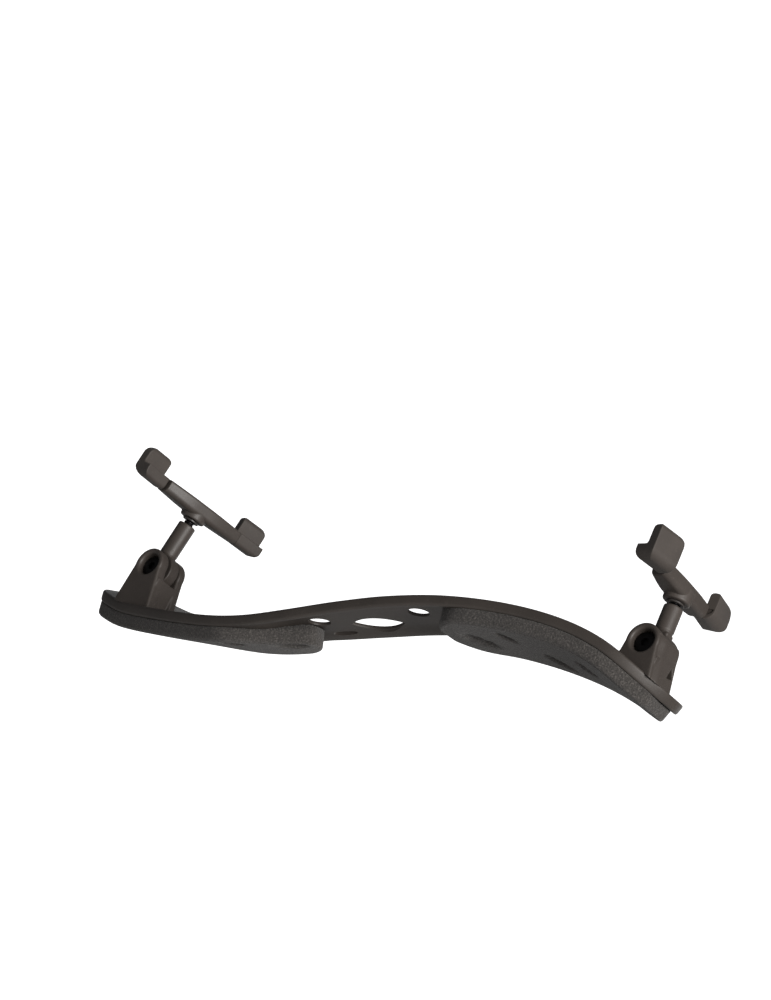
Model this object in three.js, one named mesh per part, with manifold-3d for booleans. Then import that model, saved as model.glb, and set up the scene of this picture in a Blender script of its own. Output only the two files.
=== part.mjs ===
// Violin shoulder rest: a curved band with two foam pads, and at each end a clevis tower,
// a tilting post, a height screw and a two-pronged fork that grips the edge of the violin.
//
// Frame, in millimetres: +X runs along the band from the chest end to the shoulder end, +Y
// points away from the scroll (towards the player's neck) and +Z points up at the violin's back.
// The origin lies half-way between the two forks, in the plane of the violin's back edge.

import * as THREE from 'three';
import { mergeVertices } from 'three/addons/utils/BufferGeometryUtils.js';
import Module from 'manifold-3d';

const wasm = await Module();
wasm.setup();

// ---- driving dimensions (mm, degrees) ----
const CHEST_END = -125;          // band: where it ends along X at the chest
const SHOULDER_END = 106;        // band: where it ends along X at the shoulder
const CHEST_ROUND = [11, 20];    // band: rounding of the chest end, near and far side
const SHOULDER_ROUND = [17, 20]; // band: rounding of the shoulder end, near and far side
const NEAR_MID_Y = -24;          // band: near edge at mid-length
const NEAR_RADIUS = 330;         // band: plan radius of the near edge
const MID_WIDTH = 30.4;          // band: width at its waist
const END_WIDTH = 37.5;          // band: width under the towers
const RIM_THICK = 3.6;           // band: thickness of the rim and the ends
const FAR_RIM_THICK = 2.6;       // band: thickness of the far rim at the waist
const WEB_THICK = 1.1;           // band: thickness of the waist inside the rim
const EDGE_ROUND = 0.9;          // band: edge rounding
const PAD_THICK = 4.6;           // foam pad thickness
const GAP = 0.3;                 // clearance between pieces that are shaped by each other

const EAR_R = 5.8;               // tower: radius of the front ear
const REAR_EAR_R = 6.2;          // tower: radius of the rear ear
const FRONT_EAR = 4.2;           // tower: thickness of the front ear
const SLOT = 5.6;                // tower: slot between the ears
const REAR_EAR = 3.2;            // tower: thickness of the rear ear
const COUNTERBORE_R = 3.9;       // tower: recess for the hinge bolt's head
const COUNTERBORE_DEPTH = 3.3;
const FLARE = 0.17;              // tower: how much wider the ears grow per millimetre down
const BOLT_R = 2.0;              // hinge bolt shank (M4)
const BOLT_HEAD_R = 3.4;
const BOLT_HEAD = 1.2;
const NUT_AF = 7.0;              // hinge nut, across flats
const NUT_THICK = 2.2;
const WASHER_THICK = 0.5;        // nylon friction washers beside the knuckle
const WASHER_R = 4.6;

const KNUCKLE_R = 6.2;           // post: disc that tilts in the slot
const KNUCKLE_THICK = 4.2;
const TUBE_R = 3.1;              // post: tube
const TUBE_OFFSET = 1.6;         // post: how far the tube stands outside the hinge
const INSERT_R = 2.35;           // threaded insert in the tube's mouth
const INSERT_LENGTH = 6;
const ROD_R = 1.75;              // height screw
const BOSS_R = 4.5;              // fork: round boss round the height screw
const BOSS_DEPTH = 1.8;          // fork: how far the boss stands below the arm
const ARM_THICK = 4.6;           // fork: depth of the arm at the boss
const ARM_END_THICK = 3.6;       // fork: depth of the arm beside the hooks
const PRONG = 1.8;               // fork: thickness of the prongs inside their sleeves
const SLEEVE = 0.9;              // rubber sleeve wall

// Each leg: hinge centre, yaw of the hinge axis from +Y, lean of the post towards the middle,
// tube length, screw length, the fork's yaw and where its foot screws stand in y. Each hook: how far its end reaches from the screw
// axis along the arm, its length, its outer face and top from the seat's middle, and its own yaw.
const LEGS = {
  left: {
    side: -1, hinge: [-98.9, -1.0, -27.2], yaw: -4, lean: 12.5, tube: 18.6, screw: 17.2,
    forkYaw: -14, feet: [-3.6, 4.7],
    hooks: {
      scroll: { reach: -26, length: 10, out: 4.4, rise: 5.4, yaw: -8 },
      neck: { reach: 28, length: 10, out: 4.6, rise: 5.4, yaw: 4 },
    },
  },
  right: {
    side: 1, hinge: [95.7, 3.8, -23.0], yaw: 0, lean: 0, tube: 14.8, screw: 14.2,
    forkYaw: 2, feet: [-4.9, 4.5],
    hooks: {
      scroll: { reach: -26.5, length: 11, out: 4.8, rise: 6.2, yaw: -18 },
      neck: { reach: 25, length: 12, out: 4.2, rise: 4.2, yaw: 6 },
    },
  },
};

// ---- colours ----
const BLACK = 0x2e2b29;
const paint = (color, roughness, metalness = 0) =>
  new THREE.MeshStandardMaterial({ color, roughness, metalness });
const FINISH = {
  composite: paint(0x332f2d, 0.45),
  foam: paint(0x4a4744, 0.95),
  plastic: paint(BLACK, 0.5),
  rubber: paint(0x262423, 0.75),
  steel: paint(0x8d8d90, 0.3, 1),
  blackSteel: paint(0x242426, 0.4, 1),
  brass: paint(0xb08d4a, 0.35, 1),
  nylon: paint(0x2b2928, 0.55),
};

// ---- solids ----
const rad = THREE.MathUtils.degToRad;

function solid(geometry, matrix) {
  const g = geometry.clone();
  if (matrix) g.applyMatrix4(matrix);
  for (const name of Object.keys(g.attributes)) if (name !== 'position') g.deleteAttribute(name);
  const merged = mergeVertices(g, 1e-4);
  const made = (triVerts) => new wasm.Manifold(new wasm.Mesh({
    numProp: 3,
    vertProperties: new Float32Array(merged.attributes.position.array),
    triVerts: new Uint32Array(triVerts),
  }));
  const outward = made(merged.index.array);
  if (outward.volume() > 0) return outward;
  return made(Array.from(merged.index.array).reverse());
}

function geometryOf(manifold) {
  const mesh = manifold.getMesh();
  const g = new THREE.BufferGeometry();
  g.setAttribute('position', new THREE.Float32BufferAttribute(mesh.vertProperties, 3));
  g.setIndex(Array.from(mesh.triVerts));
  g.computeVertexNormals();
  return g;
}

function matrix(position = [0, 0, 0], euler = [0, 0, 0]) {
  const q = new THREE.Quaternion().setFromEuler(new THREE.Euler(...euler));
  return new THREE.Matrix4().compose(new THREE.Vector3(...position), q, new THREE.Vector3(1, 1, 1));
}

function piece(name, geometry, material, position, euler) {
  const mesh = new THREE.Mesh(geometry, material.clone());
  mesh.name = name;
  if (position) mesh.position.set(...position);
  if (euler) mesh.rotation.set(...euler);
  return mesh;
}

// cylinder along +Z from z0 to z1
function rod(r, z0, z1, segments = 32) {
  const g = new THREE.CylinderGeometry(r, r, z1 - z0, segments);
  g.rotateX(Math.PI / 2);
  g.translate(0, 0, (z0 + z1) / 2);
  return g;
}

// body of revolution about Z from [radius, z] pairs that start and end on the axis or close
function turned(profile, segments = 32) {
  const g = new THREE.LatheGeometry(profile.map(([r, z]) => new THREE.Vector2(r, z)), segments);
  g.rotateX(Math.PI / 2);
  return g;
}

function box(x0, x1, y0, y1, z0, z1) {
  const g = new THREE.BoxGeometry(x1 - x0, y1 - y0, z1 - z0);
  g.translate((x0 + x1) / 2, (y0 + y1) / 2, (z0 + z1) / 2);
  return g;
}

function extruded(shape, depth, curveSegments = 10) {
  return new THREE.ExtrudeGeometry(shape, { depth, bevelEnabled: false, curveSegments });
}

// closed skin over rings of equal length, with a fan on each end
function skin(rings) {
  const n = rings[0].length;
  const points = rings.flat();
  const index = [];
  for (let i = 0; i + 1 < rings.length; i += 1) {
    for (let j = 0; j < n; j += 1) {
      const a = i * n + j;
      const b = i * n + ((j + 1) % n);
      index.push(a, a + n, b, b, a + n, b + n);
    }
  }
  const last = (rings.length - 1) * n;
  for (const [base, flip] of [[0, false], [last, true]]) {
    const middle = rings[base ? rings.length - 1 : 0]
      .reduce((sum, p) => sum.add(p), new THREE.Vector3()).divideScalar(n);
    points.push(middle);
    const centre = points.length - 1;
    for (let j = 0; j < n; j += 1) {
      const a = base + j;
      const b = base + ((j + 1) % n);
      if (flip) index.push(centre, b, a);
      else index.push(centre, a, b);
    }
  }
  const g = new THREE.BufferGeometry();
  g.setAttribute('position', new THREE.Float32BufferAttribute(points.flatMap((p) => p.toArray()), 3));
  g.setIndex(index);
  return g;
}

// ---- band surface ----
// Height of the near edge's top along X: a bowl at the chest end, a hump, and a fall to the shoulder end.
const CREST = [
  [-118, -37.8], [-104, -42.2], [-87, -44.6], [-68, -46.0], [-52, -46.1], [-38, -44.6],
  [-22, -40.9], [-4, -35.8], [14, -31.0], [34, -27.1], [56, -25.1], [74, -25.6], [88, -28.4],
  [102, -34.2], [118, -41.7],
];

// Sideways tilt of the band in degrees along X: steep over the chest, almost level at the shoulder.
const TILT = [
  [-118, 21.5], [-75, 21.5], [-50, 18.5], [-20, 12], [4, 8.2], [35, 6], [80, 3], [110, 3],
];

// smooth curve through a list of [x, value] points
function curve(points, x) {
  let i = 0;
  while (i < points.length - 2 && x > points[i + 1][0]) i += 1;
  const [x1, y1] = points[i];
  const [x2, y2] = points[i + 1];
  const [x0, y0] = points[i - 1] ?? [2 * x1 - x2, 2 * y1 - y2];
  const [x3, y3] = points[i + 2] ?? [2 * x2 - x1, 2 * y2 - y1];
  const h = x2 - x1;
  const t = (x - x1) / h;
  const m1 = (y2 - y0) / (x2 - x0);
  const m2 = (y3 - y1) / (x3 - x1);
  const t2 = t * t;
  const t3 = t2 * t;
  return (2 * t3 - 3 * t2 + 1) * y1 + (t3 - 2 * t2 + t) * h * m1
    + (3 * t2 - 2 * t3) * y2 + (t3 - t2) * h * m2;
}

const crest = (x) => curve(CREST, x);
const bank = (x) => rad(curve(TILT, x));
const nearY = (x) => NEAR_MID_Y + (x * x) / (2 * NEAR_RADIUS);
const width = (x) => THREE.MathUtils.lerp(
  MID_WIDTH, END_WIDTH, THREE.MathUtils.smoothstep(Math.abs(x), 20, 88));

// point on the band's top, v millimetres in from the near edge
function top(x, v) {
  return new THREE.Vector3(x, nearY(x) + v * Math.cos(bank(x)), crest(x) + v * Math.sin(bank(x)));
}

function normal(x, v) {
  const along = top(x + 0.5, v).sub(top(x - 0.5, v));
  const across = top(x, v + 0.5).sub(top(x, v - 0.5));
  return along.cross(across).normalize();
}

// point at a depth below the band's top
function below(x, v, depth) {
  return top(x, v).addScaledVector(normal(x, v), -depth);
}

// how far the rounded ends draw the near edge (side 0) or the far edge (side 1) in
function endInset(x, side) {
  const [radius, left] = x < 0
    ? [CHEST_ROUND[side], x - CHEST_END] : [SHOULDER_ROUND[side], SHOULDER_END - x];
  const s = Math.max(0, radius - left) / radius;
  return radius * (1 - Math.sqrt(Math.max(0, 1 - Math.min(s, 0.985) ** 2)));
}

function edges(x, inset = 0) {
  return [endInset(x, 0) + inset, width(x) - endInset(x, 1) - inset];
}

function stations(from, to, step) {
  const count = Math.ceil((to - from) / step);
  return Array.from({ length: count + 1 }, (_, i) => from + ((to - from) * i) / count);
}

// Stations packed closer at the ends, so that the rounded ends stay round.
function roundedStations(from, to, step) {
  const tight = [0, 0.6, 1.8, 3.8, 6.6, 10.2, 14.6];
  const last = 20;
  return [
    ...tight.map((d) => from + d), ...stations(from + last, to - last, step),
    ...tight.reverse().map((d) => to - d),
  ];
}

// how much of the waist's section applies at x: 1 at mid-length, 0 over the ends
const waist = (x) => 1 - THREE.MathUtils.smoothstep(Math.abs(x - 2), 26, 42);
const farRim = (x) => THREE.MathUtils.lerp(RIM_THICK, FAR_RIM_THICK, waist(x));

// Thickness of the band: a full rim and full ends, and across the waist a thin web that swells
// towards the far rim.
function thickness(x, v, v0, v1) {
  const { lerp, smoothstep } = THREE.MathUtils;
  const rim = lerp(RIM_THICK, farRim(x), smoothstep((v - v0) / (v1 - v0), 0.2, 0.8));
  const inside = smoothstep(v - v0, 1.6, 3.6) * smoothstep(v1 - v, 1.5, 7);
  return rim - (rim - WEB_THICK) * waist(x) * inside;
}

function bandSolid() {
  const rings = roundedStations(CHEST_END, SHOULDER_END, 6.6).map((x) => {
    const [v0, v1] = edges(x);
    const r = EDGE_ROUND;
    const ring = [];
    const push = (v, d) => ring.push(below(x, v, d));
    push(v0 + r, 0);
    push((v0 + v1) / 2, 0);
    push(v1 - r, 0);
    push(v1, r);
    push(v1, farRim(x) - r);
    push(v1 - r, farRim(x));
    for (const f of [0.93, 0.84, 0.74, 0.4, 0.1, 0.03]) {
      const v = v0 + r + (v1 - v0 - 2 * r) * f;
      push(v, thickness(x, v, v0, v1));
    }
    push(v0 + r, RIM_THICK);
    push(v0, RIM_THICK - r);
    push(v0, r);
    return ring;
  });
  return solid(skin(rings));
}

// a cutter that follows the band's surface normal at (x, v)
function bandMatrix(x, v, depth = 0) {
  const n = normal(x, v);
  const along = top(x + 0.5, v).sub(top(x - 0.5, v)).normalize();
  const across = n.clone().cross(along);
  const m = new THREE.Matrix4().makeBasis(along, across, n);
  m.setPosition(below(x, v, depth));
  return m;
}

function leaf(length, breadth) {
  const s = new THREE.Shape();
  s.moveTo(-length / 2, -breadth * 0.1);
  s.bezierCurveTo(-length * 0.3, breadth * 0.45, length * 0.12, breadth * 0.62, length / 2, breadth * 0.08);
  s.bezierCurveTo(length * 0.25, -breadth * 0.5, -length * 0.2, -breadth * 0.62, -length / 2, -breadth * 0.1);
  return s.getPoints(8).slice(0, -1);
}

function oval(rx, ry, count = 24) {
  return Array.from({ length: count }, (_, i) => {
    const a = (i / count) * Math.PI * 2;
    return new THREE.Vector2(rx * Math.cos(a), ry * Math.sin(a));
  });
}

// cutter through the waist's web, opening out towards both of its faces
function waistCut(outline, x, v) {
  const m = bandMatrix(x, v, WEB_THICK / 2);
  const rings = [[-5, 1.25], [-0.4, 1], [0.4, 1], [5, 1.25]].map(
    ([z, k]) => outline.map((p) => new THREE.Vector3(p.x * k, p.y * k, z).applyMatrix4(m)));
  return solid(skin(rings));
}

function waistOpenings() {
  return [
    waistCut(leaf(18, 12.5), -1.2, 20.8),
    waistCut(oval(3.6, 3.6), -18.8, 13.8),
    waistCut(oval(3.5, 3.5), 17.5, 13.2),
    waistCut(oval(3.0, 0.9, 16), -15, 25.6),
  ];
}

// two screws under each tower, square to the band's surface, one before and one behind the hinge
function footSpots(leg) {
  const [hx, hy] = leg.hinge;
  return leg.feet.map((dy) => {
    const y = hy + dy;
    return [hx, (y - nearY(hx)) / Math.cos(bank(hx))];
  });
}

const SCREW_R = 1.25;
const SCREW_HEAD_R = 2.3;
const SCREW_HEAD = 1.3;
const SCREW_TIP = 2.7;           // how far a foot screw's tip stands above the band's top

function bandGeometry() {
  let body = bandSolid();
  for (const cut of waistOpenings()) body = body.subtract(cut);
  for (const leg of Object.values(LEGS)) {
    for (const [x, v] of footSpots(leg)) {
      const m = bandMatrix(x, v);
      body = body.subtract(solid(rod(SCREW_R + 0.15, -8, 4, 14), m));
      body = body.subtract(solid(rod(SCREW_HEAD_R + 0.2, -9, -RIM_THICK + SCREW_HEAD + 0.2, 18), m));
    }
  }
  return geometryOf(body);
}

function footScrew() {
  const seat = -RIM_THICK + SCREW_HEAD + 0.1;
  const head = turned([
    [0, seat - SCREW_HEAD], [SCREW_HEAD_R - 0.3, seat - SCREW_HEAD], [SCREW_HEAD_R, seat - SCREW_HEAD + 0.3],
    [SCREW_HEAD_R, seat], [SCREW_R, seat], [SCREW_R, SCREW_TIP - 0.5], [SCREW_R - 0.5, SCREW_TIP],
    [0, SCREW_TIP],
  ], 14);
  const cross = solid(box(-1.5, 1.5, -0.3, 0.3, seat - SCREW_HEAD - 1, seat - SCREW_HEAD + 0.7))
    .add(solid(box(-0.3, 0.3, -1.5, 1.5, seat - SCREW_HEAD - 1, seat - SCREW_HEAD + 0.7)));
  return geometryOf(solid(head).subtract(cross));
}

// ---- foam pads ----
function padGeometry(from, to, vRange, thick) {
  const rings = roundedStations(from, to, 6.2).map((x) => {
    const [v0, v1] = vRange(x);
    const t0 = RIM_THICK + GAP;
    const t = thick(x);
    const r = Math.min(1.2, t * 0.3);
    return [
      [v0, t0], [v0 + (v1 - v0) / 2, t0], [v1, t0], [v1, t0 + t - r], [v1 - r, t0 + t],
      [v0 + (v1 - v0) / 2, t0 + t], [v0 + r, t0 + t], [v0, t0 + t - r],
    ].map(([v, d]) => below(x, v, d));
  });
  return geometryOf(solid(skin(rings)));
}

const ease = (x, a, b) => THREE.MathUtils.smoothstep(x, a, b);

// how far a rounded end of a given length draws an edge in, d millimetres from its tip
const rounding = (d, length, amount) => {
  const s = Math.min(1, Math.max(0, (length - d) / length));
  return amount * (1 - Math.sqrt(Math.max(0, 1 - Math.min(s, 0.985) ** 2)));
};

const CHEST_PAD_END = -22;
const SHOULDER_PAD_START = 27.5;

// The chest pad's near side leaves the band's edge and runs across to its inner end.
function chestPad() {
  return padGeometry(CHEST_END + 0.6, CHEST_PAD_END, (x) => {
    const [v0, v1] = edges(x, 0.5);
    const d = CHEST_PAD_END - x;
    return [
      v0 + 14 * ease(x, -52, CHEST_PAD_END) + rounding(d, 5, 3),
      v1 - 1.2 - 2.5 * ease(x, -80, -45) - rounding(d, 7, 7),
    ];
  }, (x) => PAD_THICK - 0.6 * ease(x, -60, CHEST_PAD_END));
}

// The shoulder pad has a full-width, D-shaped inner end.
function shoulderPad() {
  return padGeometry(SHOULDER_PAD_START, SHOULDER_END - 1.4, (x) => {
    const [v0, v1] = edges(x, 0.5);
    const d = x - SHOULDER_PAD_START;
    return [v0 + rounding(d, 14, 14), v1 - 1.2 - 1.6 * ease(x, 30, 50) - rounding(d, 14, 13)];
  }, () => PAD_THICK);
}

// ---- tower (clevis) ----
// Local frame: origin on the hinge axis in the middle of the slot, +Y along the hinge, +Z up.
const FRONT_Y = -(SLOT / 2 + FRONT_EAR);
const REAR_Y = SLOT / 2 + REAR_EAR;

// ear outline in (x, z): a round top on a flared upright
function earShape(r, depth) {
  const s = new THREE.Shape();
  s.moveTo(-r - FLARE * depth, -depth);
  s.lineTo(r + FLARE * depth, -depth);
  s.lineTo(r * 0.995, -1);
  s.absarc(0, 0, r, 0, Math.PI, false);
  s.lineTo(-r * 0.995, -1);
  s.closePath();
  return s;
}

// extrusion of an (x, z) outline from y0 to y1 with chamfered edges
function uprightSolid(shape, y0, y1, segments = 8) {
  const g = new THREE.ExtrudeGeometry(shape, {
    depth: y1 - y0 - 0.8, bevelEnabled: true, bevelThickness: 0.4, bevelSize: 0.4,
    bevelOffset: -0.4, bevelSegments: 1, curveSegments: segments,
  });
  g.rotateX(Math.PI / 2);
  g.translate(0, y1 - 0.4, 0);
  return solid(g);
}

function legMatrix(leg) {
  return matrix(leg.hinge, [0, 0, rad(leg.yaw)]);
}

function towerGeometry(leg) {
  const inverse = legMatrix(leg).invert();
  const deep = 24;
  let body = uprightSolid(earShape(EAR_R, deep), FRONT_Y, -SLOT / 2)
    .add(uprightSolid(earShape(REAR_EAR_R, deep), SLOT / 2, REAR_Y))
    .add(solid(box(-EAR_R - 1.2, EAR_R + 1.2, FRONT_Y + 1, REAR_Y - 0.6, -deep, -4.4)));
  // the floor under the knuckle stays clear of it
  const sweep = rod(KNUCKLE_R + 0.5, -SLOT / 2, SLOT / 2, 28);
  sweep.rotateX(Math.PI / 2);
  body = body.subtract(solid(sweep));
  // counterbore with a rounded rim, shank hole and nut pocket
  const bore = turned([
    [0, -20], [BOLT_R + 0.1, -20], [BOLT_R + 0.1, -COUNTERBORE_DEPTH], [COUNTERBORE_R, -COUNTERBORE_DEPTH],
    [COUNTERBORE_R, -0.6], [COUNTERBORE_R + 0.6, 0], [COUNTERBORE_R + 0.9, 0.6], [0, 0.6],
  ], 24);
  body = body.subtract(solid(bore, matrix([0, FRONT_Y, 0], [Math.PI / 2, 0, 0])));
  const pocket = new THREE.CylinderGeometry(
    (NUT_AF + 0.3) / Math.sqrt(3), (NUT_AF + 0.3) / Math.sqrt(3), NUT_THICK * 2, 6);
  body = body.subtract(solid(pocket, matrix([0, REAR_Y, 0])));
  // the foot follows the band, GAP above it
  body = body.subtract(bandBelow(leg, inverse));
  for (const [x, v] of footSpots(leg)) {
    const hole = rod(SCREW_R + 0.1, -8, SCREW_TIP + 0.4, 14);
    body = body.subtract(solid(hole, inverse.clone().multiply(bandMatrix(x, v))));
  }
  return geometryOf(body);
}

// everything under the band's top near a tower, raised by GAP, in the tower's frame
function bandBelow(leg, inverse) {
  const [hx, hy] = leg.hinge;
  const rings = stations(hx - 14, hx + 14, 3).map((x) => {
    const mid = (hy - nearY(x)) / Math.cos(bank(x));
    return [
      [mid - 16, 0], [mid, 0], [mid + 16, 0], [mid + 16, 40], [mid - 16, 40],
    ].map(([v, drop]) => {
      const p = below(x, v, -GAP);
      p.z -= drop;
      return p.applyMatrix4(inverse);
    });
  });
  return solid(skin(rings));
}

function hingeBolt() {
  const seat = FRONT_Y + COUNTERBORE_DEPTH - 0.1;
  const shank = turned([
    [0, seat - BOLT_HEAD], [BOLT_HEAD_R - 0.4, seat - BOLT_HEAD], [BOLT_HEAD_R, seat - BOLT_HEAD + 0.4],
    [BOLT_HEAD_R, seat], [BOLT_R, seat], [BOLT_R, REAR_Y - 0.4], [BOLT_R - 0.4, REAR_Y], [0, REAR_Y],
  ], 20);
  const socket = new THREE.CylinderGeometry(1.45, 1.45, 1.7, 6);
  socket.rotateX(Math.PI / 2);
  socket.translate(0, 0, seat - BOLT_HEAD);
  const g = geometryOf(solid(shank).subtract(solid(socket)));
  g.rotateX(-Math.PI / 2);
  return g;
}

function ring(outer, inner, thick, sides = 24) {
  const hole = rod(inner, -thick, thick, sides);
  return geometryOf(solid(rod(outer, -thick / 2, thick / 2, sides)).subtract(solid(hole)));
}

function hingeNut() {
  const hex = new THREE.CylinderGeometry(NUT_AF / Math.sqrt(3), NUT_AF / Math.sqrt(3), NUT_THICK - 0.3, 6);
  const hole = new THREE.CylinderGeometry(BOLT_R + 0.06, BOLT_R + 0.06, 8, 20);
  return geometryOf(solid(hex).subtract(solid(hole)));
}

// ---- post ----
// Local frame: origin on the hinge axis, +Y along the hinge, +Z along the tube. The tube stands
// outside the hinge by TUBE_OFFSET.
function postGeometry(leg) {
  const out = leg.side * TUBE_OFFSET;
  const knuckle = rod(KNUCKLE_R, -KNUCKLE_THICK / 2, KNUCKLE_THICK / 2, 28);
  knuckle.rotateX(Math.PI / 2);
  const neckTop = KNUCKLE_R + 1.1;
  const tube = turned([
    [0, neckTop], [TUBE_R + 0.5, neckTop], [TUBE_R + 0.1, neckTop + 1.2],
    [TUBE_R, leg.tube - 0.5], [TUBE_R - 0.5, leg.tube], [0, leg.tube],
  ], 24);
  let body = solid(knuckle)
    .add(solid(box(out - TUBE_R, out + TUBE_R, -KNUCKLE_THICK / 2, KNUCKLE_THICK / 2, 2, neckTop + 0.4)))
    .add(solid(tube, matrix([out, 0, 0])));
  const pin = rod(BOLT_R + 0.06, -8, 8, 20);
  pin.rotateX(Math.PI / 2);
  body = body.subtract(solid(pin));
  body = body.subtract(solid(rod(INSERT_R + 0.05, leg.tube - INSERT_LENGTH - 0.5, leg.tube + 2, 20),
    matrix([out, 0, 0])));
  body = body.subtract(solid(rod(ROD_R + 0.25, neckTop - 2, leg.tube + 2, 20), matrix([out, 0, 0])));
  return geometryOf(body);
}

function insertGeometry() {
  const outer = turned([
    [0, -INSERT_LENGTH], [INSERT_R - 0.25, -INSERT_LENGTH], [INSERT_R, -INSERT_LENGTH + 0.25],
    [INSERT_R, -0.3], [INSERT_R - 0.2, 0], [0, 0],
  ], 20);
  return geometryOf(solid(outer).subtract(solid(rod(ROD_R + 0.06, -9, 3, 20))));
}

function rodGeometry(length) {
  return turned([
    [0, -length], [ROD_R - 0.5, -length], [ROD_R, -length + 0.5], [ROD_R, -0.4], [ROD_R - 0.4, 0], [0, 0],
  ], 20);
}

// ---- fork ----
// Local frame: origin on the screw's axis at the seat (the arm's top face), +Y away from the
// scroll. Outlines are drawn with +X outward and mirrored for the left fork.
const CORE_Z = -ARM_END_THICK / 2;  // mid-height of the thin prong core

// The prong: an L in (x, z) that runs out from under the violin's edge and turns up outside it.
// A positive grow thickens it all round.
function prongShape(inner, out, rise, grow = 0) {
  const s = new THREE.Shape();
  const low = CORE_Z - PRONG / 2 - grow;
  const high = CORE_Z + PRONG / 2 + grow;
  const x1 = out + grow;
  const x0 = out - PRONG - grow;
  const tip = (x1 - x0) / 2;
  const r = 2.2 + grow;
  s.moveTo(inner - grow, low);
  s.lineTo(x1 - r, low);
  s.absarc(x1 - r, low + r, r, -Math.PI / 2, 0, false);
  s.lineTo(x1, rise + grow - tip);
  s.absarc(x1 - tip, rise + grow - tip, tip, 0, Math.PI, false);
  s.lineTo(x0, high);
  s.lineTo(inner - grow, high);
  s.closePath();
  return s;
}

// extrusion of an (x, z) outline along y
function across(shape, y0, y1, segments = 4) {
  const g = extruded(shape, y1 - y0, segments);
  g.rotateX(Math.PI / 2);
  g.translate(0, y1, 0);
  return g;
}

// plan outline of the arm, narrow at its ends and full at the boss
function armShape(leg) {
  const near = leg.hooks.scroll.reach;
  const far = leg.hooks.neck.reach;
  const s = new THREE.Shape();
  s.moveTo(3.0, near);
  s.lineTo(-2.2, near);
  s.bezierCurveTo(-2.0, near * 0.55, -4.6, near * 0.4, -4.6, 0);
  s.bezierCurveTo(-4.6, far * 0.4, -2.2, far * 0.55, -2.2, far);
  s.lineTo(3.0, far);
  s.bezierCurveTo(2.8, far * 0.55, 4.2, far * 0.35, 4.2, 0);
  s.bezierCurveTo(4.2, near * 0.35, 2.8, near * 0.55, 3.0, near);
  s.closePath();
  return s;
}

// side outline of the arm in (y, z): flat on top and deepest at the boss
function armSide(leg) {
  const near = leg.hooks.scroll.reach - 1;
  const far = leg.hooks.neck.reach + 1;
  const s = new THREE.Shape();
  s.moveTo(near, 1);
  s.lineTo(near, -ARM_END_THICK);
  s.lineTo(near * 0.6, -ARM_END_THICK);
  s.quadraticCurveTo(near * 0.3, -ARM_THICK, 0, -ARM_THICK);
  s.quadraticCurveTo(far * 0.3, -ARM_THICK, far * 0.6, -ARM_END_THICK);
  s.lineTo(far, -ARM_END_THICK);
  s.lineTo(far, 1);
  s.closePath();
  return s;
}

const PRONG_INNER = -1.4;        // where the prong core starts on the side under the violin
const TONGUE = 2.2;              // how far the core runs into the arm

// frame of a hook: origin at its middle, +Y towards the arm's middle
function hookMatrix(hook) {
  const inward = -Math.sign(hook.reach);
  return matrix([0, hook.reach + inward * hook.length / 2, 0], [0, 0, rad(hook.yaw)])
    .multiply(new THREE.Matrix4().makeScale(1, inward, 1));
}

function mirrored(leg) {
  return new THREE.Matrix4().makeScale(leg.side, 1, 1);
}

function forkGeometry(leg) {
  const arm = new THREE.ExtrudeGeometry(armShape(leg), {
    depth: ARM_THICK - 1.4, bevelEnabled: true, bevelThickness: 0.7, bevelSize: 0.9,
    bevelOffset: -0.9, bevelSegments: 1, curveSegments: 6,
  });
  arm.translate(0, 0, -ARM_THICK + 0.7);
  const side = extruded(armSide(leg), 24, 5);
  side.translate(0, 0, -12);
  // (y, z, x) of the side outline turned into (x, y, z)
  const turn = new THREE.Matrix4().set(0, 0, 1, 0, 1, 0, 0, 0, 0, 1, 0, 0, 0, 0, 0, 1);
  let body = solid(arm).intersect(solid(side, turn));
  for (const hook of Object.values(leg.hooks)) {
    const m = hookMatrix(hook);
    const half = hook.length / 2;
    const core = half - SLEEVE;
    body = body
      .subtract(solid(box(-20, 20, -60, half + GAP, -20, 20), m))
      .add(solid(across(prongShape(PRONG_INNER, hook.out, hook.rise), -core, half - 0.4), m))
      .add(solid(box(PRONG_INNER, 1.6, 0, half + TONGUE, CORE_Z - PRONG / 2, CORE_Z + PRONG / 2), m));
  }
  body = body.add(solid(turned([
    [0, -ARM_THICK - BOSS_DEPTH], [BOSS_R - 0.5, -ARM_THICK - BOSS_DEPTH],
    [BOSS_R, -ARM_THICK - BOSS_DEPTH + 0.5], [BOSS_R, -1.5], [0, -1.5],
  ], 24)));
  body = body.subtract(solid(rod(ROD_R + 0.05, -20, -1.2, 20)));
  return geometryOf(body.transform(mirrored(leg).elements));
}

// a rubber sleeve drawn over a hook like a sock, open towards the arm's middle
function sleeveGeometry(leg, hook) {
  const half = hook.length / 2;
  const outer = new THREE.ExtrudeGeometry(prongShape(PRONG_INNER, hook.out, hook.rise, SLEEVE), {
    depth: hook.length - 1.2, bevelEnabled: true, bevelThickness: 0.6, bevelSize: 0.5,
    bevelOffset: -0.5, bevelSegments: 1, curveSegments: 5,
  });
  outer.rotateX(Math.PI / 2);
  outer.translate(0, half - 0.6, 0);
  const clear = 0.1;
  const core = across(
    prongShape(PRONG_INNER, hook.out, hook.rise, clear), -half + SLEEVE - clear, half + 3);
  const m = hookMatrix(hook);
  const body = solid(outer, m).subtract(solid(core, m));
  return geometryOf(body.transform(mirrored(leg).elements));
}

// ---- assembly ----
const rest = new THREE.Group();
rest.add(piece('band', bandGeometry(), FINISH.composite));
rest.add(piece('chest_foam_pad', chestPad(), FINISH.foam));
rest.add(piece('shoulder_foam_pad', shoulderPad(), FINISH.foam));

function placed(name, geometry, material, m) {
  const mesh = piece(name, geometry, material);
  m.decompose(mesh.position, mesh.quaternion, mesh.scale);
  return mesh;
}

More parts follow.
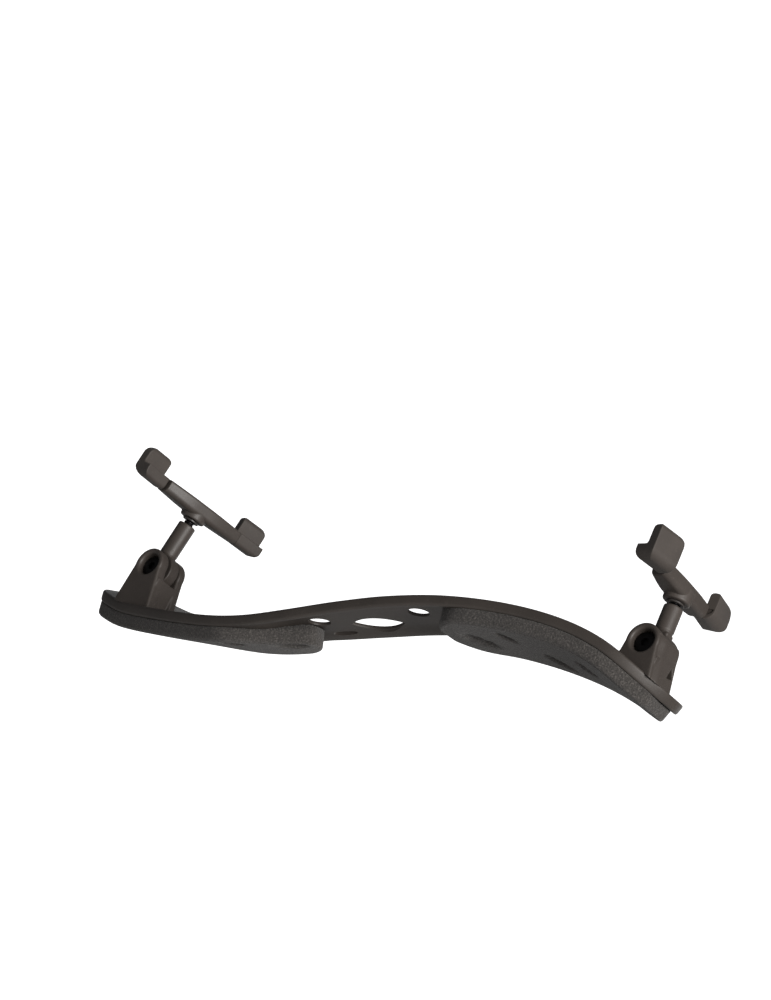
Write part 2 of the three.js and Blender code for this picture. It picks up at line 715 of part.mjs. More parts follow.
function addLeg(side, leg) {
  const tower = new THREE.Group();
  tower.position.set(...leg.hinge);
  tower.rotation.set(0, 0, rad(leg.yaw));
  tower.add(piece(`${side}_tower`, towerGeometry(leg), FINISH.plastic));
  tower.add(piece(`${side}_hinge_bolt`, hingeBolt(), FINISH.blackSteel));
  tower.add(piece(`${side}_hinge_nut`, hingeNut(), FINISH.steel, [0, REAR_Y - NUT_THICK / 2, 0]));
  const washer = ring(WASHER_R, BOLT_R + 0.15, WASHER_THICK);
  washer.rotateX(Math.PI / 2);
  const y = KNUCKLE_THICK / 2 + 0.1 + WASHER_THICK / 2;
  tower.add(piece(`${side}_front_friction_washer`, washer, FINISH.nylon, [0, -y, 0]));
  tower.add(piece(`${side}_rear_friction_washer`, washer.clone(), FINISH.nylon, [0, y, 0]));
  rest.add(tower);
  footSpots(leg).forEach(([x, v], i) => {
    rest.add(placed(`${side}_foot_screw_${i + 1}`, footScrew(), FINISH.steel, bandMatrix(x, v)));
  });

  // the post leans towards the middle of the rest
  const post = new THREE.Group();
  post.rotation.set(0, rad(-leg.side * leg.lean), 0);
  tower.add(post);
  post.add(piece(`${side}_post`, postGeometry(leg), FINISH.plastic));
  const screw = new THREE.Group();
  screw.position.set(leg.side * TUBE_OFFSET, 0, leg.tube);
  post.add(screw);
  screw.add(piece(`${side}_threaded_insert`, insertGeometry(), FINISH.brass, [0, 0, -0.2]));
  const washerZ = leg.side < 0 ? 1.5 : 0.9;
  screw.add(piece(`${side}_height_washer`, ring(2.9, ROD_R + 0.08, 0.6), FINISH.nylon,
    [0, 0, washerZ + 0.3]));
  // the boss stands just above the washer
  const seat = washerZ + 0.7 + BOSS_DEPTH + ARM_THICK;
  screw.add(piece(`${side}_height_rod`, rodGeometry(leg.screw), FINISH.blackSteel, [0, 0, seat - 1.5]));
  const fork = new THREE.Group();
  fork.position.set(0, 0, seat);
  fork.rotation.set(0, 0, rad(leg.forkYaw));
  screw.add(fork);
  fork.add(piece(`${side}_fork`, forkGeometry(leg), FINISH.plastic));
  for (const [end, hook] of Object.entries(leg.hooks)) {
    fork.add(piece(`${side}_${end}_hook_sleeve`, sleeveGeometry(leg, hook), FINISH.rubber));
  }
}

for (const [side, leg] of Object.entries(LEGS)) addLeg(side, leg);

export default rest;
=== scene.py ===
# Violin shoulder rest: the visual model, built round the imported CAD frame.
# Shapes are worked out in millimetres, and piece() turns them into metres.
# Each leg is a clevis tower on the band, a tilting post, a height screw and a two-hooked fork.
import math

import bpy
import numpy as np
from mathutils import Matrix, Vector


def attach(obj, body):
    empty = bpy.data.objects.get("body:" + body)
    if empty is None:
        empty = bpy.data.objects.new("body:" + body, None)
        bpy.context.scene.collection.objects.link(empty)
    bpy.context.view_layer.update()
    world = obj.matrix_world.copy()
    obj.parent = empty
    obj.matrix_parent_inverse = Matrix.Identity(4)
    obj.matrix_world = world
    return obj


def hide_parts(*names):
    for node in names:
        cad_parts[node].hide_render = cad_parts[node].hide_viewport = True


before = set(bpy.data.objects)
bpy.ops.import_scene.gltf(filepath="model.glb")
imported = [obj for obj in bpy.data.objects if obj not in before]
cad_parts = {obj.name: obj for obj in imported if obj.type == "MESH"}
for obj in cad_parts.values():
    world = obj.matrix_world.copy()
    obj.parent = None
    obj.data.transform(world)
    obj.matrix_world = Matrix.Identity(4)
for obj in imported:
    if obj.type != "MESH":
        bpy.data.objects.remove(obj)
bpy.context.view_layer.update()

# ---- driving dimensions (mm, degrees), most of them the same as the CAD's ----
# Band and pads
CHEST_END, SHOULDER_END = -125.0, 106.0
CHEST_ROUND, SHOULDER_ROUND = (11.0, 20.0), (17.0, 20.0)    # end rounding, near and far side
NEAR_MID_Y, NEAR_RADIUS = -24.0, 330.0      # near edge: place at mid-length, plan radius
MID_WIDTH, END_WIDTH = 30.4, 37.5
RIM_THICK, FAR_RIM_THICK, WEB_THICK = 3.6, 2.6, 1.1
EDGE_ROUND = 0.9                            # of the band's rim
PAD_THICK = 4.6
PAD_ROUND, PAD_CROWN = 1.15, 0.55
CHEST_PAD_END, SHOULDER_PAD_START = -22.0, 27.5

# Towers and their hardware
EAR_R, REAR_EAR_R = 5.8, 6.2
FRONT_EAR, SLOT, REAR_EAR = 4.2, 5.6, 3.2
COUNTERBORE_R, COUNTERBORE_DEPTH = 3.9, 3.3
FLARE = 0.17                    # how much wider the ears grow per millimetre down
BLANK_DEPTH = 24                # how far the uncut tower reaches below its hinge
BEDDED = 0.32                   # how deep the tower's foot stands in the band
BOLT_R, BOLT_HEAD_R, BOLT_HEAD = 2.0, 3.4, 1.2
NUT_AF, NUT_THICK = 7.0, 2.2
WASHER_THICK, WASHER_R = 0.5, 4.6           # friction washers
SCREW_R, SCREW_HEAD_R, SCREW_TIP = 1.25, 2.5, 2.7
FRONT_Y = -(SLOT / 2 + FRONT_EAR)
REAR_Y = SLOT / 2 + REAR_EAR

# Posts and height screws
KNUCKLE_R, KNUCKLE_THICK = 6.2, 4.2
KNUCKLE_NECK = KNUCKLE_R + 1.1  # height that the tube's lower end is measured from
TUBE_R, TUBE_OFFSET = 3.1, 1.6
INSERT_R, INSERT_LENGTH = 2.35, 6.0
ROD_R, THREAD_PITCH, THREAD_DEPTH = 1.75, 1.0, 0.28
FIT = 0.06                      # running clearance round bolts and screws

# Forks
BOSS_R, BOSS_DEPTH, BOSS_WASHER_R = 4.5, 1.8, 2.9
ARM_THICK, ARM_END_THICK = 4.6, 3.6
PRONG, SLEEVE = 1.8, 0.9        # prong thickness and sleeve wall
SOLE = 0.8                      # extra rubber below the hooks
SLEEVE_ROOM = 0.1               # between a prong and the inside of its sleeve
GAP = 0.3                       # between an arm and its sleeves
PRONG_INNER, TONGUE = -1.4, 2.2  # where a prong's foot starts in x, and how far it reaches into the arm
CORE_Z = -ARM_END_THICK / 2

# hinge: place of the tilt axis. tube, screw: lengths. feet: the foot screws' distance from the hinge in y.
# wall: where the outer side wall starts in y. corners of a hook: radii at its end above, beside the arm
# and at its end below.
LEGS = {
    "left": dict(
        side=-1, hinge=(-98.9, -1.0, -27.2), yaw=-4, lean=12.5, tube=18.6, screw=17.2,
        fork_yaw=-14, feet=(-3.6, 4.7), washer_z=1.5, wall=-3.6,
        hooks=dict(
            scroll=dict(reach=-26, length=10, out=4.4, rise=5.4, yaw=-8, corners=(3.2, 1.6, 3.0)),
            neck=dict(reach=28, length=10, out=4.6, rise=5.4, yaw=4, corners=(2.6, 1.4, 2.4)),
        ),
    ),
    "right": dict(
        side=1, hinge=(95.7, 3.8, -23.0), yaw=0, lean=0, tube=14.8, screw=14.2,
        fork_yaw=2, feet=(-4.9, 4.5), washer_z=0.9, wall=-6.3,
        hooks=dict(
            scroll=dict(reach=-26.5, length=11, out=4.8, rise=6.2, yaw=-18, corners=(1.4, 3.0, 3.0)),
            neck=dict(reach=25, length=12, out=4.2, rise=4.2, yaw=6, corners=(4.6, 1.4, 3.4)),
        ),
    ),
}


# ---- mesh helpers ----
def clamp(x, lo=0.0, hi=1.0):
    return min(hi, max(lo, x))


def lerp(a, b, t):
    return a + (b - a) * t


def smoothstep(x, a, b):
    t = clamp((x - a) / (b - a))
    return t * t * (3 - 2 * t)


def quarter(depth):
    """How far a quarter circle of radius 1 has still to come in, at a depth of 0 to 1 into it."""
    return 1 - math.sqrt(max(0.0, 1 - (1 - clamp(depth)) ** 2))


def loft(rings):
    """Vertices and faces of a closed skin over rings of equal length."""
    n = len(rings[0])
    verts = [tuple(p) for ring in rings for p in ring]
    faces = []
    for i in range(len(rings) - 1):
        for j in range(n):
            a, b = i * n + j, i * n + (j + 1) % n
            faces.append((a, b, b + n, a + n))
    last = (len(rings) - 1) * n
    faces.append(tuple(reversed(range(n))))
    faces.append(tuple(last + j for j in range(n)))
    return verts, faces


def circle(r, n=64):
    return [(r * math.cos(2 * math.pi * i / n), r * math.sin(2 * math.pi * i / n)) for i in range(n)]


def lathe(profile, n=64):
    """Body of revolution about Z from (radius, z) pairs, flat at both ends."""
    return loft([[(x, y, z) for x, y in circle(r, n)] for r, z in profile])


def prism(outline, z0, z1):
    return loft([[(x, y, z) for x, y in outline] for z in (z0, z1)])


def block(x0, x1, y0, y1, z0, z1):
    return prism([(x0, y0), (x1, y0), (x1, y1), (x0, y1)], z0, z1)


def arc(cx, cy, r, start, end, n):
    """Points on an arc, in degrees."""
    turns = [math.radians(lerp(start, end, i / n)) for i in range(n + 1)]
    return [(cx + r * math.cos(t), cy + r * math.sin(t)) for t in turns]


def bezier(p0, p1, p2, p3, n):
    """Points on a cubic curve, without its last."""
    out = []
    for i in range(n):
        t = i / n
        w = ((1 - t) ** 3, 3 * t * (1 - t) ** 2, 3 * t * t * (1 - t), t ** 3)
        out.append(tuple(sum(k * p[a] for k, p in zip(w, (p0, p1, p2, p3))) for a in (0, 1)))
    return out


def work(shape, matrix=None):
    """A scratch object, in millimetres, with its faces outward."""
    mesh = bpy.data.meshes.new("work")
    verts, faces = shape
    mesh.from_pydata(verts, [], faces)
    obj = bpy.data.objects.new("work", mesh)
    bpy.context.scene.collection.objects.link(obj)
    if matrix:
        mesh.transform(matrix)
    volume = 0.0
    for face in mesh.polygons:
        p = [mesh.vertices[i].co for i in face.vertices]
        volume += sum(p[0].dot(p[i].cross(p[i + 1])) for i in range(1, len(p) - 1))
    if volume < 0:
        mesh.flip_normals()
    return obj


def drop(*objects):
    for obj in objects:
        mesh = obj.data
        bpy.data.objects.remove(obj)
        bpy.data.meshes.remove(mesh)


def applied(obj):
    """Applies an object's modifiers to its mesh."""
    bpy.context.view_layer.update()
    graph = bpy.context.evaluated_depsgraph_get()
    mesh = bpy.data.meshes.new_from_object(obj.evaluated_get(graph), depsgraph=graph)
    old = obj.data
    obj.modifiers.clear()
    obj.data = mesh
    bpy.data.meshes.remove(old)
    return obj


def bevelled(obj, width, segments):
    m = obj.modifiers.new("bevel", "BEVEL")
    m.width = width
    m.segments = segments
    m.limit_method = "ANGLE"
    m.angle_limit = math.radians(35)
    return applied(obj)


def combined(obj, other, operation):
    m = obj.modifiers.new("bool", "BOOLEAN")
    m.operation = operation
    m.object = other
    m.solver = "EXACT"
    return applied(obj)


def less(obj, *cutters):
    for cutter in cutters:
        combined(obj, cutter, "DIFFERENCE")
    return obj


def merged(parts, voxel, rounds, keep):
    """One moulded body from overlapping closed parts, its edges softened.

    voxel is the grid's size, rounds how often it is smoothed and keep the share of faces that stays.
    """
    verts, faces = [], []
    for part in parts:
        base = len(verts)
        verts += [tuple(v.co) for v in part.data.vertices]
        faces += [tuple(base + i for i in f.vertices) for f in part.data.polygons]
        drop(part)
    mesh = bpy.data.meshes.new("work")
    mesh.from_pydata(verts, [], faces)
    obj = bpy.data.objects.new("work", mesh)
    bpy.context.scene.collection.objects.link(obj)
    m = obj.modifiers.new("remesh", "REMESH")
    m.mode = "VOXEL"
    m.voxel_size = voxel
    m = obj.modifiers.new("smooth", "SMOOTH")
    m.factor = 0.5
    m.iterations = rounds
    m = obj.modifiers.new("thin", "DECIMATE")
    m.ratio = keep
    return applied(obj)


def piece(name, obj, slot, body, node, matrix=None, crease=None):
    """Turns a scratch object into a finished piece, in metres, that stands for a CAD node."""
    if matrix:
        obj.data.transform(matrix)
        if matrix.determinant() < 0:
            obj.data.flip_normals()
    obj.data.transform(Matrix.Scale(0.001, 4))
    obj.name = name
    obj.data.name = name
    obj.data.materials.clear()
    obj.data.materials.append(MATERIALS[slot])
    obj.data.polygons.foreach_set("use_smooth", [True] * len(obj.data.polygons))
    if crease:
        obj.data.set_sharp_from_angle(angle=math.radians(crease))
    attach(obj, body)
    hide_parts(node)


# ---- materials ----
class Nodes:
    """Short words for building a material's node tree."""

    def __init__(self, name):
        self.material = bpy.data.materials.new(name)
        self.material.use_nodes = True
        self.tree = self.material.node_tree
        self.shader = self.tree.nodes["Principled BSDF"]
        self.place = self.add("ShaderNodeTexCoord").outputs["Object"]

    def add(self, kind, **values):
        node = self.tree.nodes.new(kind)
        for key, value in values.items():
            setattr(node, key, value)
        return node

    def link(self, a, b):
        self.tree.links.new(a, b)

    def noise(self, scale, detail=3.0, rough=0.55):
        n = self.add("ShaderNodeTexNoise")
        n.inputs["Scale"].default_value = scale
        n.inputs["Detail"].default_value = detail
        n.inputs["Roughness"].default_value = rough
        self.link(self.place, n.inputs["Vector"])
        return n.outputs["Fac"]

    def cells(self, scale):
        n = self.add("ShaderNodeTexVoronoi", feature="F1")
        n.inputs["Scale"].default_value = scale
        self.link(self.place, n.inputs["Vector"])
        return n.outputs["Distance"]

    def ramp(self, value, stops):
        n = self.add("ShaderNodeValToRGB")
        while len(n.color_ramp.elements) < len(stops):
            n.color_ramp.elements.new(0.5)
        for element, (at, colour) in zip(n.color_ramp.elements, stops):
            element.position = at
            element.color = (*colour, 1)
        self.link(value, n.inputs["Fac"])
        return n.outputs["Color"]

    def mapped(self, value, lo, hi, out_lo, out_hi):
        n = self.add("ShaderNodeMapRange")
        for key, number in zip(("From Min", "From Max", "To Min", "To Max"), (lo, hi, out_lo, out_hi)):
            n.inputs[key].default_value = number
        self.link(value, n.inputs["Value"])
        return n.outputs["Result"]

    def mix(self, fac, a, b):
        n = self.add("ShaderNodeMix", data_type="RGBA")
        for socket, value in ((n.inputs[0], fac), (n.inputs[6], a), (n.inputs[7], b)):
            if hasattr(value, "links"):
                self.link(value, socket)
            elif isinstance(value, tuple):
                socket.default_value = (*value, 1)
            else:
                socket.default_value = value
        return n.outputs[2]

    def maths(self, operation, a, b):
        n = self.add("ShaderNodeMath", operation=operation)
        for socket, value in zip(n.inputs, (a, b)):
            if hasattr(value, "links"):
                self.link(value, socket)
            else:
                socket.default_value = value
        return n.outputs[0]

    def bump(self, height, strength, distance, below=None):
        n = self.add("ShaderNodeBump")
        n.inputs["Strength"].default_value = strength
        n.inputs["Distance"].default_value = distance
        self.link(height, n.inputs["Height"])
        if below:
            self.link(below, n.inputs["Normal"])
        return n.outputs["Normal"]

    def done(self, colour, roughness, normal, **constants):
        self.link(colour, self.shader.inputs["Base Color"])
        self.link(roughness, self.shader.inputs["Roughness"])
        self.link(normal, self.shader.inputs["Normal"])
        for key, value in constants.items():
            self.shader.inputs[key.replace("_", " ")].default_value = value
        return self.material


def scaled(colour, k):
    return tuple(c * k for c in colour)


def plastic(name, base, grain, rough, wear=1.9):
    """Moulded satin plastic: clouded colour, fine spark-eroded grain, paler rubbed edges."""
    n = Nodes(name)
    clouds = n.noise(55.0, 4.0)
    fleck = n.noise(1400.0, 2.0)
    fine = n.noise(grain, 2.0, 0.7)
    colour = n.ramp(clouds, [(0.3, scaled(base, 0.84)), (0.7, scaled(base, 1.16))])
    colour = n.mix(n.mapped(fleck, 0.6, 0.75, 0, 0.35), colour, scaled(base, 1.9))
    edge = n.add("ShaderNodeNewGeometry").outputs["Pointiness"]
    patchy = n.mapped(n.noise(320.0), 0.35, 0.65, 0.2, 1)
    rub = n.maths("MULTIPLY", n.mapped(edge, 0.52, 0.62, 0, 1), patchy)
    colour = n.mix(n.maths("MULTIPLY", rub, 0.55), colour, scaled(base, wear))
    roughness = n.mapped(n.maths("ADD", n.maths("MULTIPLY", clouds, 0.5), n.maths("MULTIPLY", fine, 0.5)),
                         0.3, 0.7, *rough)
    normal = n.bump(fine, 0.5, 0.00006)
    normal = n.bump(n.noise(160.0, 3.0), 0.25, 0.00008, normal)
    return n.done(colour, roughness, normal, Specular_IOR_Level=0.42)


def foam(name, base):
    """Closed-cell foam with a skin of fine open cells, painted shade in their dents, and pale specks."""
    n = Nodes(name)
    clouds = n.noise(70.0, 4.0)
    grit = n.noise(1900.0, 3.0, 0.72)
    pore_dents_and_shade = n.cells(1400.0)
    colour = n.ramp(clouds, [(0.3, scaled(base, 0.88)), (0.7, scaled(base, 1.14))])
    colour = n.mix(n.mapped(grit, 0.5, 0.64, 0, 0.85), colour, scaled(base, 2.5))
    # painted shade: the pore centres, dented by the bump below, are darkened as if shade lay in them
    colour = n.mix(n.mapped(pore_dents_and_shade, 0.0, 0.4, 0.8, 0), colour, scaled(base, 0.35))
    roughness = n.mapped(grit, 0.3, 0.7, 0.86, 0.99)
    normal = n.bump(pore_dents_and_shade, 0.7, 0.0003)
    normal = n.bump(grit, 0.7, 0.00025, normal)
    normal = n.bump(n.noise(240.0, 3.0), 0.3, 0.0003, normal)
    return n.done(colour, roughness, normal, Specular_IOR_Level=0.2, Sheen_Weight=0.12, Sheen_Roughness=0.6)


def rubber(name, base):
    """Soft matt rubber with a faint bloom and a dusting of lint."""
    n = Nodes(name)
    clouds = n.noise(90.0, 5.0)
    fine = n.noise(2200.0, 2.0, 0.6)
    dust = n.noise(900.0, 6.0, 0.7)
    colour = n.ramp(clouds, [(0.3, scaled(base, 0.85)), (0.7, scaled(base, 1.2))])
    colour = n.mix(n.mapped(dust, 0.58, 0.72, 0, 0.4), colour, scaled(base, 2.0))
    roughness = n.mapped(clouds, 0.3, 0.7, 0.56, 0.72)
    normal = n.bump(fine, 0.35, 0.00005)
    normal = n.bump(n.noise(300.0, 2.0), 0.25, 0.00008, normal)
    return n.done(colour, roughness, normal, Specular_IOR_Level=0.4, Sheen_Weight=0.05, Sheen_Roughness=0.5)


def metal(name, base, rough=(0.22, 0.4)):
    """Turned metal with fine tool marks and dulled patches."""
    n = Nodes(name)
    stretch = n.add("ShaderNodeMapping")
    stretch.inputs["Scale"].default_value = (0.15, 0.15, 1.0)
    n.link(n.place, stretch.inputs["Vector"])
    plain = n.place
    n.place = stretch.outputs["Vector"]
    marks = n.noise(2600.0, 2.0, 0.6)
    n.place = plain
    patches = n.noise(260.0, 4.0)
    colour = n.ramp(patches, [(0.35, scaled(base, 0.78)), (0.65, base)])
    roughness = n.mapped(n.maths("ADD", marks, patches), 0.7, 1.3, *rough)
    normal = n.bump(marks, 0.3, 0.00003)
    return n.done(colour, roughness, normal, Metallic=1.0)


BAND_COLOUR = (0.041, 0.034, 0.0295)
PLASTIC_COLOUR = (0.046, 0.038, 0.033)
FOAM_COLOUR = (0.040, 0.0365, 0.034)
RUBBER_COLOUR = (0.045, 0.037, 0.032)
MATERIALS = {
    "composite": plastic("band_composite", BAND_COLOUR, grain=3600.0, rough=(0.44, 0.6)),
    "plastic": plastic("moulded_plastic", PLASTIC_COLOUR, grain=3000.0, rough=(0.42, 0.58)),
    "foam": foam("speckled_foam", FOAM_COLOUR),
    "rubber": rubber("soft_rubber", RUBBER_COLOUR),
    "steel": metal("turned_steel", (0.52, 0.51, 0.50)),
    "black_steel": metal("blackened_steel", (0.022, 0.021, 0.022), rough=(0.36, 0.52)),
    "brass": metal("turned_brass", (0.62, 0.43, 0.18)),
    "nylon": plastic("dark_nylon", (0.030, 0.026, 0.024), grain=2600.0, rough=(0.36, 0.5), wear=1.5),
}

# ---- the band's surface ----
# The near edge's height along X, and how far the band is banked up towards its far edge, in degrees.
CREST = [
    (-118, -37.8), (-104, -42.2), (-87, -44.6), (-68, -46.0), (-52, -46.1), (-38, -44.6),
    (-22, -40.9), (-4, -35.8), (14, -31.0), (34, -27.1), (56, -25.1), (74, -25.6), (88, -28.4),
    (102, -34.2), (118, -41.7),
]
TILT = [
    (-118, 21.5), (-75, 21.5), (-50, 18.5), (-20, 12), (4, 8.2), (35, 6), (80, 3), (110, 3),
]


def curve(points, x):
    """Smooth curve through a list of (x, value) points."""
    i = 0
    while i < len(points) - 2 and x > points[i + 1][0]:
        i += 1
    (x1, y1), (x2, y2) = points[i], points[i + 1]
    x0, y0 = points[i - 1] if i else (2 * x1 - x2, 2 * y1 - y2)
    x3, y3 = points[i + 2] if i + 2 < len(points) else (2 * x2 - x1, 2 * y2 - y1)
    h = x2 - x1
    t = (x - x1) / h
    m1, m2 = (y2 - y0) / (x2 - x0), (y3 - y1) / (x3 - x1)
    return ((2 * t ** 3 - 3 * t * t + 1) * y1 + (t ** 3 - 2 * t * t + t) * h * m1
            + (3 * t * t - 2 * t ** 3) * y2 + (t ** 3 - t * t) * h * m2)


def near_y(x):
    return NEAR_MID_Y + x * x / (2 * NEAR_RADIUS)


def bank(x):
    return math.radians(curve(TILT, x))


def width(x):
    return lerp(MID_WIDTH, END_WIDTH, smoothstep(abs(x), 20, 88))


def top(x, v):
    """Point on the band's upper surface, v across it from the near edge."""
    b = bank(x)
    return np.array((x, near_y(x) + v * math.cos(b), curve(CREST, x) + v * math.sin(b)))


def normal(x, v):
    n = np.cross(top(x + 0.5, v) - top(x - 0.5, v), top(x, v + 0.5) - top(x, v - 0.5))
    return n / np.linalg.norm(n)


def below(x, v, depth):
    return top(x, v) - normal(x, v) * depth


def end_inset(x, side):
    """How far the rounded corners of the band's ends have come in, at the near (0) or far (1) side."""
    radius, left = ((CHEST_ROUND[side], x - CHEST_END) if x < 0
                    else (SHOULDER_ROUND[side], SHOULDER_END - x))
    return radius * quarter(max(left, 0.0) / radius) if left < radius else 0.0


def edges(x, inset=0.0):
    """The band's two edges, as v."""
    v0, v1 = end_inset(x, 0) + inset, width(x) - end_inset(x, 1) - inset
    if v1 - v0 < 1.0:
        middle = (v0 + v1) / 2
        v0, v1 = middle - 0.5, middle + 0.5
    return v0, v1


def waist(x):
    """1 in the thin waist, 0 at the ends."""
    return 1 - smoothstep(abs(x - 2), 26, 42)


def thickness(x, v, v0, v1):
    rim = lerp(RIM_THICK, lerp(RIM_THICK, FAR_RIM_THICK, waist(x)),
               smoothstep((v - v0) / (v1 - v0), 0.2, 0.8))
    inside = smoothstep(v - v0, 1.6, 3.6) * smoothstep(v1 - v, 1.5, 7)
    return rim - (rim - WEB_THICK) * waist(x) * inside


def rounded_stations(start, end, step):
    """Places along X, crowded at both ends where the outline turns."""
    tight = [0, 0.12, 0.35, 0.7, 1.1, 1.7, 2.5, 3.5, 4.8, 6.4, 8.2, 10.2, 12.5, 15, 17.5]
    last = 20.0
    count = int(math.ceil((end - start - 2 * last) / step))
    middle = [lerp(start + last, end - last, i / count) for i in range(count + 1)]
    return [start + d for d in tight] + middle + [end - d for d in reversed(tight)]


def band_matrix(x, v, depth=0.0):
    """Frame on the band's upper surface, with Z along its normal."""
    n = Vector(normal(x, v))
    along = Vector(top(x + 0.5, v) - top(x - 0.5, v)).normalized()
    side = n.cross(along)
    m = Matrix((along, side, n)).transposed().to_4x4()
    m.translation = Vector(below(x, v, depth))
    return m


def leaf(length, breadth):
    """Outline of the waist's pointed middle opening."""
    a, b = (-length / 2, -breadth * 0.1), (length / 2, breadth * 0.08)
    return (bezier(a, (-length * 0.3, breadth * 0.45), (length * 0.12, breadth * 0.62), b, 24)
            + bezier(b, (length * 0.25, -breadth * 0.5), (-length * 0.2, -breadth * 0.62), a, 24))


def oval(rx, ry, n=56):
    return [(x * rx, y * ry) for x, y in circle(1.0, n)]


def waist_cut(outline, x, v):
    """Cutter through the waist, its rim rounded towards both faces."""
    half = [(0.3, 1.0), (0.5, 1.01), (0.62, 1.035), (5, 1.25)]
    profile = [(-z, k) for z, k in reversed(half)] + half
    rings = [[(px * k, py * k, z) for px, py in outline] for z, k in profile]
    return work(loft(rings), band_matrix(x, v, WEB_THICK / 2))


def corner(v, side, r, depth, up, angles):
    """Rounding of an edge at v, as (v, depth): side is -1 near and 1 far, up is 1 above and -1 below."""
    turns = [math.radians(a) for a in angles]
    return [(v - side * r * (1 - math.sin(t)), depth + up * r * (1 - math.cos(t))) for t in turns]


def band_section(x):
    """Ring round the band at x, as (v, depth below the upper surface)."""
    v0, v1 = edges(x)
    r = min(EDGE_ROUND, (v1 - v0) / 2.2)
    end = EDGE_ROUND * quarter(min(x - CHEST_END, SHOULDER_END - x) / EDGE_ROUND)
    far = lerp(RIM_THICK, FAR_RIM_THICK, waist(x))
    across = [lerp(v0 + r, v1 - r, i / 30) for i in range(31)]
    angles = (22.5, 45, 67.5, 90)
    ring = [(v, end) for v in across]
    ring += corner(v1, 1, r, end, 1, angles)
    ring += corner(v1, 1, r, far - end, -1, angles[::-1])
    ring += [(v, thickness(x, v, v0, v1) - end) for v in reversed(across)]
    ring += corner(v0, -1, r, RIM_THICK - end, -1, angles)
    ring += corner(v0, -1, r, end, 1, angles[::-1])
    return ring


def make_band():
    rings = []
    for x in rounded_stations(CHEST_END, SHOULDER_END, 1.5):
        rings.append([below(x, v, d) for v, d in band_section(x)])
    obj = work(loft(rings))
    cutters = [
        waist_cut(leaf(18, 12.5), -1.2, 20.8),
        waist_cut(oval(3.6, 3.6), -18.8, 13.8),
        waist_cut(oval(3.5, 3.5), 17.5, 13.2),
        waist_cut(oval(4.4, 0.9), -16.6, 25.5),
    ]
    for leg in LEGS.values():
        for x, v in foot_spots(leg):
            m = band_matrix(x, v)
            cutters.append(work(lathe([(SCREW_R + 0.15, -8), (SCREW_R + 0.15, 4)], 32), m))
            cutters.append(work(lathe([(SCREW_HEAD_R, -9), (SCREW_HEAD_R, -RIM_THICK + 1.5)], 40), m))
    less(obj, *cutters)
    drop(*cutters)
    piece("band_shell", obj, "composite", "root", "band", crease=32)


def foot_spots(leg):
    """Where a tower's two foot screws come up through the band, as (x, v)."""
    hx, hy, _ = leg["hinge"]
    return [(hx, (hy + dy - near_y(hx)) / math.cos(bank(hx))) for dy in leg["feet"]]


# ---- foam pads ----
# Moulded hollows in the pads' lower faces: x, v, half-length, half-breadth, turn in degrees, depth.
CHEST_HOLLOWS = [
    (-47.5, 6.4, 4.2, 1.9, 30, 1.6),
    (-29.0, 15.2, 5.0, 2.1, 28, 1.8),
    (-68.0, 14.0, 5.5, 2.1, 35, 1.5),
]
SHOULDER_HOLLOWS = [
    (39.8, 16.0, 6.4, 3.0, 54, 2.3),
    (53.4, 8.8, 4.0, 1.9, 51, 2.0),
    (66.0, 21.3, 6.4, 2.6, 55, 1.9),
    (78.9, 15.9, 5.6, 2.2, 75, 1.6),
]


def end_rounding(d, length, amount):
    """How far a rounded pad end comes in, at a distance d from its tip."""
    return amount * quarter(d / length) if d < length else 0.0


def chest_edges(x):
    v0, v1 = edges(x, 0.5)
    d = CHEST_PAD_END - x
    return (v0 + 14 * smoothstep(x, -52, CHEST_PAD_END) + end_rounding(d, 5, 3),
            v1 - 1.2 - 2.5 * smoothstep(x, -80, -45) - end_rounding(d, 7, 7))


def shoulder_edges(x):
    v0, v1 = edges(x, 0.5)
    d = x - SHOULDER_PAD_START
    return (v0 + end_rounding(d, 14, 14),
            v1 - 1.2 - 1.6 * smoothstep(x, 30, 50) - end_rounding(d, 14, 13))


def hollow_depth(hollows, x, v):
    total = 0.0
    for hx, hv, a, b, turn, deep in hollows:
        c, s = math.cos(math.radians(turn)), math.sin(math.radians(turn))
        u = ((x - hx) * c + (v - hv) * s) / a
        w = (-(x - hx) * s + (v - hv) * c) / b
        d = u * u + w * w
        if d < 4:
            total += deep * (1 - smoothstep(math.sqrt(d), 0.5, 1.1))
    return total


def pad_section(x, d_end, v0, v1, thick, hollows):
    """Ring round a pad at x: crowned, fully rounded below and softly nipped where it meets the band."""
    b0, b1 = edges(x)
    r = min(PAD_ROUND, (v1 - v0) / 2.2, thick * 0.55)
    end_in = r * quarter(d_end / r)
    bottom = RIM_THICK + thick - end_in
    angles = (90, 78, 66, 54, 42, 30, 18, 8)
    steps = [i / 46 for i in range(47)]
    ring = []
    for v in [lerp(v0 + 0.25, v1 - 0.25, t) for t in steps]:
        ring.append((v, thickness(x, clamp(v, b0, b1), b0, b1) + 0.06 + min(end_in, 0.2)))
    ring += [(v1 - 0.05, RIM_THICK + 0.25), (v1, RIM_THICK + 0.5)]
    ring += corner(v1, 1, r, bottom, -1, angles)
    for v in [lerp(v0 + r, v1 - r, t) for t in reversed(steps)]:
        across = 2 * (v - v0) / (v1 - v0) - 1
        crown = PAD_CROWN * math.sqrt(1 - across ** 2) * smoothstep(d_end, 0, 8)
        ring.append((v, bottom + crown - hollow_depth(hollows, x, v)))
    ring += corner(v0, -1, r, bottom, -1, angles[::-1])
    ring += [(v0, RIM_THICK + 0.5), (v0 + 0.05, RIM_THICK + 0.25)]
    return ring


def make_pad(name, start, end, sides, thick, hollows, node):
    rings = []
    for x in rounded_stations(start, end, 0.8):
        section = pad_section(x, min(x - start, end - x), *sides(x), thick(x), hollows)
        rings.append([below(x, v, d) for v, d in section])
    obj = work(loft(rings))
    piece(name, obj, "foam", "root", node)


